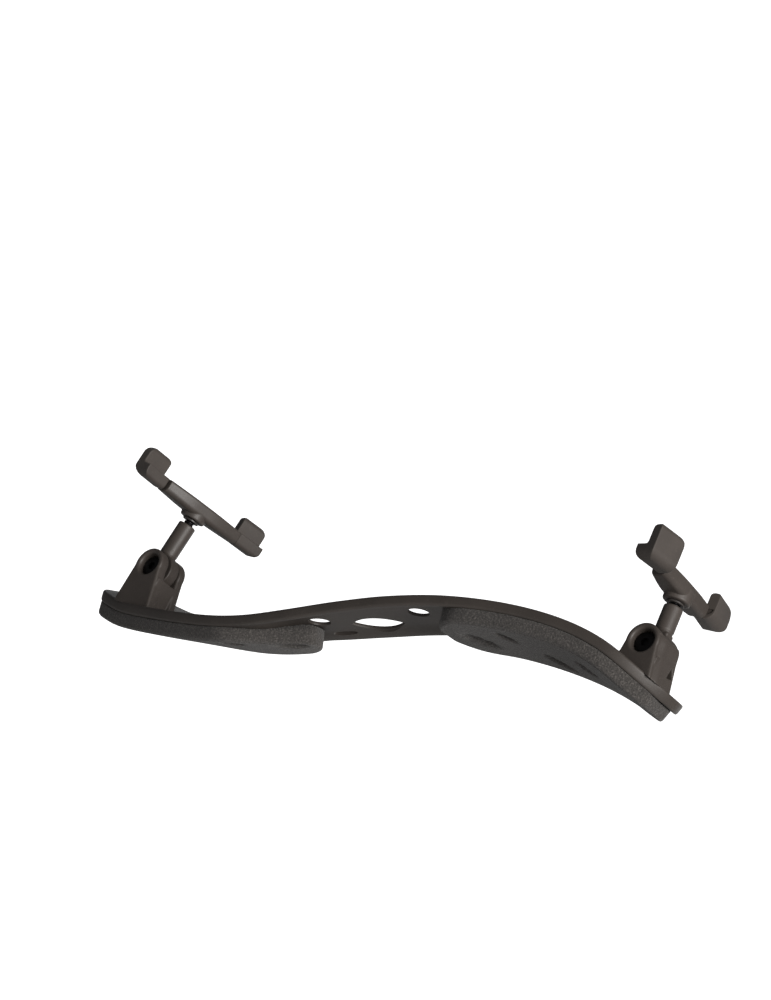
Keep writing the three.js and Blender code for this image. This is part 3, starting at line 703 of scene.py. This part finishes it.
def make_pads():
    make_pad("chest_pad_foam", CHEST_END + 0.6, CHEST_PAD_END, chest_edges,
             lambda x: PAD_THICK - 0.6 * smoothstep(x, -60, CHEST_PAD_END), CHEST_HOLLOWS, "chest_foam_pad")
    make_pad("shoulder_pad_foam", SHOULDER_PAD_START, SHOULDER_END - 1.4, shoulder_edges,
             lambda x: PAD_THICK, SHOULDER_HOLLOWS, "shoulder_foam_pad")


# ---- tower ----
NOTCH = [(1.2, -8.0), (3.2, -3.8), (4.8, -7.0)]      # triangular pocket in the outer side, as y, z


def upright(outline, y0, y1):
    """Prism of an (x, z) outline from y0 to y1."""
    verts, faces = prism(outline, y0, y1)
    return [(x, y, z) for x, z, y in verts], faces


def ear(r):
    """(x, z) outline of one ear: round at the hinge and flared below."""
    foot = r + FLARE * BLANK_DEPTH
    return ([(-foot, -BLANK_DEPTH), (foot, -BLANK_DEPTH), (r * 0.995, -1)]
            + arc(0, 0, r, 0, 180, 40) + [(-r * 0.995, -1)])


def cheek(r):
    """(x, z) outline of the tower's outer side wall: flared below, rounded over at the hinge."""
    return ([(1, -BLANK_DEPTH), (r + FLARE * BLANK_DEPTH, -BLANK_DEPTH), (r + 0.2, -2)]
            + arc(0, 0, r, 0, 25, 6) + [(EAR_R - 0.6, 3.6), (1, -3)])


def leg_matrix(leg):
    return Matrix.Translation(leg["hinge"]) @ Matrix.Rotation(math.radians(leg["yaw"]), 4, "Z")


def band_below(leg, inverse):
    """Everything under the band's top near a tower, BEDDED lower, so that the tower stands in the band."""
    hx, hy, _ = leg["hinge"]
    rings = []
    for i in range(15):
        x = hx - 14 + 2 * i
        mid = (hy - near_y(x)) / math.cos(bank(x))
        ring = []
        for v, fall in ((mid - 16, 0), (mid, 0), (mid + 16, 0), (mid + 16, 40), (mid - 16, 40)):
            p = Vector(below(x, v, BEDDED))
            p.z -= fall
            ring.append(tuple(inverse @ p))
        rings.append(ring)
    return work(loft(rings))


def along_y(profile, n=64):
    """Body of revolution about Y from (radius, y) pairs."""
    verts, faces = lathe(profile, n)
    return [(x, z, y) for x, y, z in verts], faces


def tower_blanks(leg):
    """The tower's two ears, its base and its outer side wall, uncut."""
    out = leg["side"]
    front = bevelled(work(upright(ear(EAR_R), FRONT_Y, -SLOT / 2)), width=0.75, segments=5)
    rear = bevelled(work(upright(ear(REAR_EAR_R), SLOT / 2, REAR_Y)), width=0.75, segments=5)
    base = work(block(-EAR_R - 1.2, EAR_R + 1.2, FRONT_Y + 1, REAR_Y - 0.6, -BLANK_DEPTH, -4.4))
    swell = [(leg["wall"], -0.3), (-SLOT / 2 - 0.9, 0.75), (-SLOT / 2, 0.95), (REAR_Y - 1, 0.95),
             (REAR_Y - 0.2, 0.5)]
    wall = work(loft([[(out * x, y, z) for x, z in cheek(EAR_R + grow)] for y, grow in swell]))
    return front, rear, base, wall


def counterbore():
    """Cutter for the hinge bolt, its recess and the rounded lip round that."""
    return work(along_y([
        (COUNTERBORE_R + 1.5, FRONT_Y - 0.6), (COUNTERBORE_R + 0.75, FRONT_Y + 0.05),
        (COUNTERBORE_R + 0.3, FRONT_Y + 0.3), (COUNTERBORE_R + 0.05, FRONT_Y + 0.75),
        (COUNTERBORE_R, FRONT_Y + 1.1), (COUNTERBORE_R, FRONT_Y + COUNTERBORE_DEPTH),
        (BOLT_R + 0.1, FRONT_Y + COUNTERBORE_DEPTH), (BOLT_R + 0.1, 20),
    ]))


def make_tower(side, leg):
    out = leg["side"]
    inverse = leg_matrix(leg).inverted()
    front, rear, base, wall = blanks = tower_blanks(leg)
    notch = work(loft([[(out * (EAR_R + depth), y, z) for y, z in NOTCH] for depth in (-0.4, 8)]))
    sweep = work(along_y([(KNUCKLE_R + 0.15, -SLOT / 2), (KNUCKLE_R + 0.15, SLOT / 2)], 72))
    bore = counterbore()
    pocket = work(upright(circle((NUT_AF + 0.3) / math.sqrt(3), 6), REAR_Y - NUT_THICK, REAR_Y + 2))
    ground = band_below(leg, inverse)
    screws = [work(lathe([(SCREW_R + 0.1, -8), (SCREW_R + 0.1, SCREW_TIP + 0.4)], 32),
                   inverse @ band_matrix(x, v)) for x, v in foot_spots(leg)]
    less(base, sweep, notch)
    less(wall, sweep, bore, pocket, notch)
    less(front, bore, notch)
    less(rear, bore, pocket, notch)
    for part in blanks:
        less(part, ground, *screws)
    drop(sweep, bore, pocket, notch, ground, *screws)
    obj = merged([front, rear, base, wall], voxel=0.17, rounds=7, keep=0.45)
    piece(f"{side}_clevis_tower", obj, "plastic", "root", f"{side}_tower", leg_matrix(leg))


def make_bolt(side, m):
    seat = FRONT_Y + COUNTERBORE_DEPTH - 0.1
    bolt = work(along_y([
        (BOLT_HEAD_R - 0.45, seat - BOLT_HEAD), (BOLT_HEAD_R - 0.12, seat - BOLT_HEAD + 0.12),
        (BOLT_HEAD_R, seat - BOLT_HEAD + 0.45), (BOLT_HEAD_R, seat), (BOLT_R, seat),
        (BOLT_R, REAR_Y - 0.4), (BOLT_R - 0.4, REAR_Y),
    ]))
    socket = work(upright(circle(1.45, 6), seat - BOLT_HEAD - 1, seat - BOLT_HEAD + 0.9))
    less(bolt, socket)
    drop(socket)
    piece(f"{side}_socket_bolt", bolt, "black_steel", "root", f"{side}_hinge_bolt", m, crease=30)


def make_nut(side, m, hole):
    """Hexagon nut, its corners chamfered by a double cone."""
    nut = work(upright(circle(NUT_AF / math.sqrt(3), 6), REAR_Y - NUT_THICK + 0.15, REAR_Y - 0.15))
    flat, full = NUT_AF / 2 - 0.1, NUT_AF / 2 + 0.6
    cone = work(along_y([(flat, REAR_Y - NUT_THICK + 0.1), (full, REAR_Y - NUT_THICK + 0.6),
                         (full, REAR_Y - 0.6), (flat, REAR_Y - 0.1)]))
    combined(nut, cone, "INTERSECT")
    less(nut, hole)
    drop(cone)
    piece(f"{side}_hex_nut", nut, "steel", "root", f"{side}_hinge_nut", m, crease=25)


def make_hardware(side, leg):
    """Hinge bolt, nut and friction washers of one leg."""
    m = leg_matrix(leg)
    hole = work(along_y([(BOLT_R + FIT, -8), (BOLT_R + FIT, 12)]))
    make_bolt(side, m)
    make_nut(side, m, hole)
    y = KNUCKLE_THICK / 2 + 0.1
    for place, sign in (("front", -1), ("rear", 1)):
        y0, y1 = sorted((sign * y, sign * (y + WASHER_THICK)))
        washer = work(along_y([(WASHER_R - 0.12, y0), (WASHER_R, y0 + 0.12), (WASHER_R, y1 - 0.12),
                               (WASHER_R - 0.12, y1)]))
        less(washer, hole)
        piece(f"{side}_{place}_nylon_washer", washer, "nylon", "root", f"{side}_{place}_friction_washer", m,
              crease=30)
    drop(hole)


# ---- post, insert, height screw ----
def post_matrix(leg):
    """Frame of a leaning post, at its hinge."""
    return leg_matrix(leg) @ Matrix.Rotation(math.radians(-leg["side"] * leg["lean"]), 4, "Y")


def screw_matrix(leg):
    """Frame of a height screw, at the tube's mouth."""
    return post_matrix(leg) @ Matrix.Translation((leg["side"] * TUBE_OFFSET, 0, leg["tube"]))


def make_post(side, leg):
    out, tube = leg["side"] * TUBE_OFFSET, leg["tube"]
    half = KNUCKLE_THICK / 2
    disc = bevelled(work(along_y([(KNUCKLE_R, -half), (KNUCKLE_R, half)], 72)), width=0.35, segments=3)
    web_half = TUBE_R - 0.2
    web = work(block(out - web_half, out + web_half, -half, half, 2, KNUCKLE_NECK - 1.4))
    bevelled(web, width=0.7, segments=4)
    shift = Matrix.Translation((out, 0, 0))
    shaft = work(lathe([
        (TUBE_R - 0.7, KNUCKLE_NECK - 1.7), (TUBE_R - 0.4, KNUCKLE_NECK - 1.4),
        (TUBE_R - 0.15, KNUCKLE_NECK - 0.95), (TUBE_R, KNUCKLE_NECK - 0.6),
        (TUBE_R, tube - 0.45), (TUBE_R - 0.12, tube - 0.15), (TUBE_R - 0.4, tube),
    ]), shift)
    pin = work(along_y([(BOLT_R + FIT, -8), (BOLT_R + FIT, 8)]))
    seat = work(lathe([(INSERT_R + FIT, tube - INSERT_LENGTH - 0.5), (INSERT_R + FIT, tube + 2)]), shift)
    deep = work(lathe([(ROD_R + 0.25, KNUCKLE_NECK - 2), (ROD_R + 0.25, tube + 2)]), shift)
    for part in (disc, web, shaft):
        less(part, pin, seat, deep)
    drop(pin, seat, deep)
    obj = merged([disc, web, shaft], voxel=0.15, rounds=4, keep=0.5)
    piece(f"{side}_leg_post", obj, "plastic", f"{side}_post_body", f"{side}_post", post_matrix(leg))


def make_insert(side, leg):
    insert = work(lathe([(INSERT_R - 0.25, -INSERT_LENGTH - 0.2), (INSERT_R, -INSERT_LENGTH + 0.05),
                         (INSERT_R, -0.5), (INSERT_R - 0.2, -0.2)]))
    core = work(lathe([(ROD_R + FIT, -9), (ROD_R + FIT, -0.6), (ROD_R + 0.4, 0.1), (ROD_R + 0.4, 1)]))
    less(insert, core)
    drop(core)
    piece(f"{side}_brass_insert", insert, "brass", f"{side}_post_body", f"{side}_threaded_insert",
          screw_matrix(leg), crease=30)


def make_boss_washer(side, leg):
    z, r = leg["washer_z"], BOSS_WASHER_R
    washer = work(lathe([(r - 0.12, z), (r, z + 0.12), (r, z + 0.48), (r - 0.12, z + 0.6)]))
    core = work(lathe([(ROD_R + 0.08, z - 1), (ROD_R + 0.08, z + 2)]))
    less(washer, core)
    drop(core)
    piece(f"{side}_boss_washer", washer, "nylon", f"{side}_lift", f"{side}_height_washer",
          screw_matrix(leg), crease=30)


def thread(length, n=40):
    """Threaded height screw, its end at the top at z = 0."""
    steps = int(length * 10)
    rings = []
    for k in range(steps + 1):
        z = -length + length * k / steps
        fade = smoothstep(z, -length, -length + 1.2) * smoothstep(-z, 1.5, 3.5)
        chamfer = 0.4 * (quarter((z + length) / 0.5) + quarter(-z / 0.3))
        ring = []
        for i in range(n):
            turn = 2 * math.pi * i / n
            phase = (z / THREAD_PITCH - i / n) % 1.0
            groove = THREAD_DEPTH * fade * (0.5 - 0.5 * math.cos(2 * math.pi * phase)) ** 1.3
            r = ROD_R - groove - chamfer
            ring.append((r * math.cos(turn), r * math.sin(turn), z))
        rings.append(ring)
    return loft(rings)


# ---- fork ----
def crosswise(outline, x0, x1):
    """Prism of a (y, z) outline from x0 to x1."""
    verts, faces = prism(outline, x0, x1)
    return [(x, y, z) for y, z, x in verts], faces


def fork_seat(leg):
    """Height of the fork's upper face above the tube's mouth."""
    return leg["washer_z"] + 0.7 + BOSS_DEPTH + ARM_THICK


def fork_matrix(leg):
    """Frame of a fork, +X out of the violin; the left fork is mirrored."""
    return (screw_matrix(leg) @ Matrix.Translation((0, 0, fork_seat(leg)))
            @ Matrix.Rotation(math.radians(leg["fork_yaw"]), 4, "Z")
            @ Matrix.Diagonal((leg["side"], 1, 1, 1)))


def hook_matrix(hook):
    """Frame of a hook, in its fork's, with +Y towards the boss."""
    inward = -math.copysign(1, hook["reach"])
    return (Matrix.Translation((0, hook["reach"] + inward * hook["length"] / 2, 0))
            @ Matrix.Rotation(math.radians(hook["yaw"]), 4, "Z") @ Matrix.Diagonal((1, inward, 1, 1)))


def hook_section(hook, grow=0.0, under=0.0):
    """L-shaped (x, z) section: under the violin's edge, then up outside it."""
    low, high = CORE_Z - PRONG / 2 - grow - under, CORE_Z + PRONG / 2 + grow
    inner, x1, x0 = PRONG_INNER - grow, hook["out"] + grow, hook["out"] - PRONG - grow
    top_z = hook["rise"] + grow
    tip = (x1 - x0) / 2
    knee, heel, inside = 2.2 + grow, 1.6, 0.9
    back = arc(inner + heel, low + heel, heel, 180, 270, 8) if under else [(inner, low)]
    return (back + arc(x1 - knee, low + knee, knee, -90, 0, 16)
            + arc(x1 - tip, top_z - tip, tip, 0, 180, 18)
            + [(x0, high + inside)] + arc(x0 - inside, high + inside, inside, 0, -90, 6)
            + [(inner, high)])


def trimmed(obj, hook, inset):
    """Rounds a hook in side view, with its own radius at each free corner, inset from the sleeve's skin.

    Towards the boss only its foot goes on past the edge, no higher than step.
    """
    half = hook["length"] / 2
    start, stop = -half + inset, half + (6 if inset else TONGUE)
    low, high = CORE_Z - PRONG / 2 - SLEEVE + inset, hook["rise"] + SLEEVE - inset
    low -= 0 if inset else SOLE
    step = CORE_Z + PRONG / 2 + 0.05 if inset else -0.3
    end_top, arm_top, end_low = (max(r - inset, 0.3) for r in hook["corners"])
    edge = half - inset
    outline = [(stop, low), (stop, step), (edge, step)]
    outline += arc(edge - arm_top, high - arm_top, arm_top, 0, 90, 10)
    outline += arc(start + end_top, high - end_top, end_top, 90, 180, 12)
    outline += arc(start + end_low, low + end_low, end_low, 180, 270, 10)
    shape = work(crosswise(outline, -20, 20))
    combined(obj, shape, "INTERSECT")
    drop(shape)
    return obj


def arm_blank(leg):
    """The fork's bar, flat on top, well rounded below and swelling towards the boss."""
    near, far = leg["hooks"]["scroll"]["reach"], leg["hooks"]["neck"]["reach"]
    low, up = 1.9, 0.8
    rings = []
    for i in range(61):
        y = lerp(near, far, i / 60)
        swell = smoothstep(1 - abs(y / (near if y < 0 else far)), 0.1, 0.9)
        x0, x1 = -2.1 - 2.5 * swell, 3.0 + 1.2 * swell
        z0 = -ARM_END_THICK - SOLE - 0.7 * swell
        ring = arc(x0 + low, z0 + low, low, 180, 270, 8) + arc(x1 - low, z0 + low, low, 270, 360, 8)
        ring += arc(x1 - up, -up, up, 0, 90, 5) + arc(x0 + up, -up, up, 90, 180, 5)
        rings.append([(x, y, z) for x, z in ring])
    return work(loft(rings))


def prong_blanks(hook):
    """The L-shaped prong inside a sleeve, and the tongue that joins it to the arm."""
    m = hook_matrix(hook)
    half = hook["length"] / 2
    prong = trimmed(work(upright(hook_section(hook), -half + SLEEVE, half - 0.4)), hook, SLEEVE)
    prong.data.transform(m)
    if m.determinant() < 0:
        prong.data.flip_normals()
    tongue = block(PRONG_INNER, 1.6, 0, half + TONGUE, CORE_Z - PRONG / 2, CORE_Z + PRONG / 2)
    return [prong, work(tongue, m)]


def make_fork(side, leg):
    arm = arm_blank(leg)
    parts = [arm]
    for hook in leg["hooks"].values():
        room = work(block(-20, 20, -60, hook["length"] / 2 + GAP, -20, 20), hook_matrix(hook))
        less(arm, room)
        drop(room)
        parts += prong_blanks(hook)
    under = -ARM_THICK - BOSS_DEPTH
    parts.append(work(lathe([
        (BOSS_R - 0.6, under), (BOSS_R - 0.15, under + 0.2), (BOSS_R, under + 0.6), (BOSS_R, -1.5),
    ])))
    hole = work(lathe([(ROD_R + FIT, -20), (ROD_R + FIT, -1.2)], 48))
    for part in parts:
        less(part, hole)
    drop(hole)
    obj = merged(parts, voxel=0.17, rounds=5, keep=0.45)
    body = f"{side}_fork_body"
    piece(f"{side}_fork_arm", obj, "plastic", body, f"{side}_fork", fork_matrix(leg))
    screw = work(thread(leg["screw"]))
    piece(f"{side}_height_screw", screw, "black_steel", body, f"{side}_height_rod",
          screw_matrix(leg) @ Matrix.Translation((0, 0, fork_seat(leg) - 1.5)), crease=40)


def make_sleeve(side, leg, end, hook):
    """Soft sleeve over one hook, hollow where the prong stands in it."""
    half = hook["length"] / 2
    outer = trimmed(work(upright(hook_section(hook, SLEEVE, SOLE), -half, half)), hook, 0)
    bevelled(outer, width=1.3, segments=6)
    inset = SLEEVE - SLEEVE_ROOM
    inside = work(upright(hook_section(hook, SLEEVE_ROOM), -half + inset, half + 3))
    less(outer, trimmed(inside, hook, inset))
    drop(inside)
    sleeve = merged([outer], voxel=0.14, rounds=16, keep=0.4)
    piece(f"{side}_{end}_hook_grip", sleeve, "rubber", f"{side}_fork_body", f"{side}_{end}_hook_sleeve",
          fork_matrix(leg) @ hook_matrix(hook))


# ---- CAD parts that keep their shape ----
def finish_foot_screws():
    """The foot screws stay the CAD's solids, in steel."""
    for side in LEGS:
        for i in (1, 2):
            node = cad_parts[f"{side}_foot_screw_{i}"]
            node.data.materials.clear()
            node.data.materials.append(MATERIALS["steel"])


# ---- camera, light, floor ----
def make_camera():
    """The photo's view, solved from the outline of the violin in it. Returns the way it looks."""
    data = bpy.data.cameras.new("camera")
    data.sensor_fit = "AUTO"
    data.sensor_width = 36
    data.lens = 131.09
    data.clip_end = 50
    cam = bpy.data.objects.new("camera", data)
    right = Vector((0.78211, 0.49372, 0.38020))
    down = Vector((0.11436, 0.48605, -0.86642))
    forward = Vector((-0.61256, 0.72111, 0.32368))
    cam.matrix_world = Matrix((right, -down, -forward)).transposed().to_4x4()
    cam.location = (0.70378, -0.85451, -0.37195)
    bpy.context.scene.collection.objects.link(cam)
    bpy.context.scene.camera = cam
    return forward


def area_light(name, place, target, size, power, colour, spread):
    """Round soft light; size in metres, power in watts, spread in degrees."""
    data = bpy.data.lights.new(name, "AREA")
    data.shape = "DISK"
    data.size = size
    data.energy = power
    data.spread = math.radians(spread)
    data.color = colour
    obj = bpy.data.objects.new(name, data)
    obj.location = place
    obj.rotation_euler = (Vector(target) - Vector(place)).to_track_quat("-Z", "Y").to_euler()
    bpy.context.scene.collection.objects.link(obj)


def stage_sheet(name, size, matrix, colour, glow):
    """Plain square of the studio, with a glow of its own."""
    half = size / 2
    corners = [(-half, -half, 0), (half, -half, 0), (half, half, 0), (-half, half, 0)]
    mesh = bpy.data.meshes.new(name)
    mesh.from_pydata(corners, [], [(0, 1, 2, 3)])
    obj = bpy.data.objects.new(name, mesh)
    obj.matrix_world = matrix
    bpy.context.scene.collection.objects.link(obj)
    material = bpy.data.materials.new(name)
    material.use_nodes = True
    shader = material.node_tree.nodes["Principled BSDF"]
    shader.inputs["Base Color"].default_value = (*colour, 1)
    shader.inputs["Roughness"].default_value = 0.9
    shader.inputs["Emission Color"].default_value = (1, 1, 1, 1)
    shader.inputs["Emission Strength"].default_value = glow
    mesh.materials.append(material)


WARM, WHITE = (1.0, 0.98, 0.96), (1, 1, 1)
LIGHTS = [
    # name, place, aimed at, size, power, colour, spread
    ("key", (2.5, -0.84, -0.1), (0, 0, -0.02), 1.2, 15.0, WARM, 70),
    ("top", (-0.1, 0.3, 1.4), (0, 0, 0), 1.2, 0.35, WHITE, 60),
    ("back", (-0.2, 1.5, 0.2), (0, 0, -0.02), 1.2, 1.0, WHITE, 80),
    ("under", (0.45, -0.35, -0.5), (0, 0, -0.03), 0.4, 0.5, WARM, 180),
]


def make_studio():
    forward = make_camera()
    world = bpy.data.worlds.new("studio")
    world.use_nodes = True
    sky = world.node_tree.nodes["Background"]
    sky.inputs["Color"].default_value = (0.97, 0.98, 1.0, 1)
    sky.inputs["Strength"].default_value = 0.13
    bpy.context.scene.world = world
    stage_sheet("floor", 14.0, Matrix.Translation((0, 0, -1.4)), (0.82, 0.82, 0.81), 0.2)
    facing = (-forward).to_track_quat("Z", "Y").to_matrix().to_4x4()
    facing.translation = forward * 3.2
    stage_sheet("backdrop", 1.5, facing, (0.9, 0.9, 0.9), 1.0)
    for light in LIGHTS:
        area_light(*light)
    bpy.context.scene.view_settings.view_transform = "Standard"


make_studio()
make_band()
make_pads()
for side_name, leg_data in LEGS.items():
    make_tower(side_name, leg_data)
    make_hardware(side_name, leg_data)
    make_post(side_name, leg_data)
    make_insert(side_name, leg_data)
    make_boss_washer(side_name, leg_data)
    make_fork(side_name, leg_data)
    for end_name, hook_data in leg_data["hooks"].items():
        make_sleeve(side_name, leg_data, end_name, hook_data)
finish_foot_screws()
